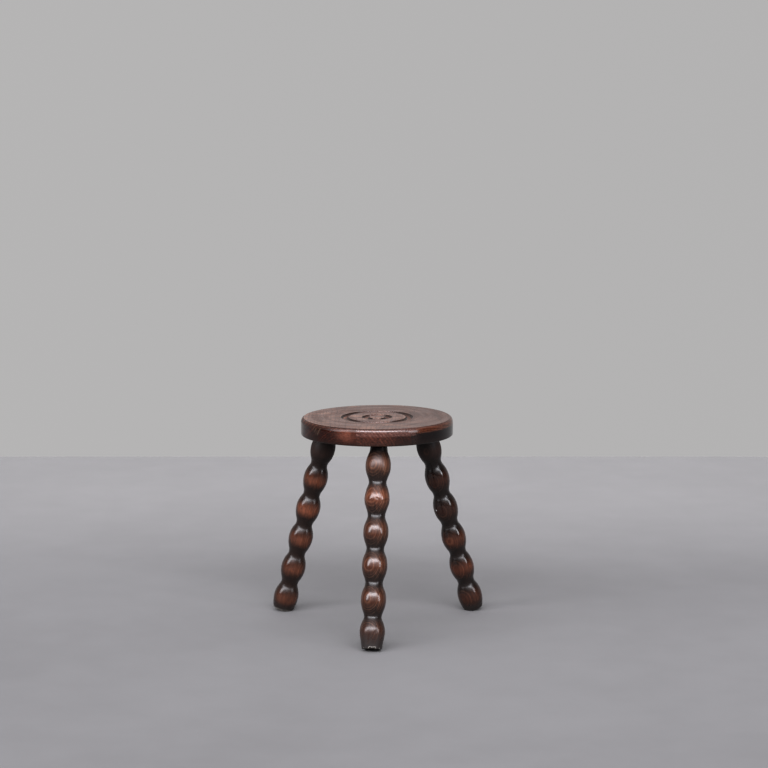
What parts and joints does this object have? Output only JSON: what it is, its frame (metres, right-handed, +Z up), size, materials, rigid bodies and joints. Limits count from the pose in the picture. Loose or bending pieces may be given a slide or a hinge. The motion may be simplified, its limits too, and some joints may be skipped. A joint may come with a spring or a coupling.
{
  "type": "bobbin stool",
  "caption": "Low round stool: a solid wood seat with turned ring grooves on splayed bobbin-turned legs held in blind sockets, stained dark red-brown.",
  "frame": {"origin": "on the floor, under the middle of the round seat", "axes": "+Z up, out of the seat's top face; -Y towards the front leg's side; +X to the right seen from the front"},
  "size_m": [0.4278, 0.3961, 0.4174],
  "materials": {
    "seat_wood": "dark stain under worn satin varnish",
    "leg_wood": "dark stain under glossy varnish, darker in the necks",
    "dowel_wood": "bare",
    "wedge_wood": "bare"
  },
  "bodies": {
    "root": {"seat_board_left": "seat_wood", "seat_board_middle": "seat_wood", "seat_board_right": "seat_wood", "front_leg": "leg_wood", "left_leg": "leg_wood", "right_leg": "leg_wood", "front_leg_wedge": "wedge_wood", "left_leg_wedge": "wedge_wood", "right_leg_wedge": "wedge_wood", "seat_dowel_left_front": "dowel_wood", "seat_dowel_left_rear": "dowel_wood", "seat_dowel_right_front": "dowel_wood", "seat_dowel_right_rear": "dowel_wood"}
  },
  "joints": []
}
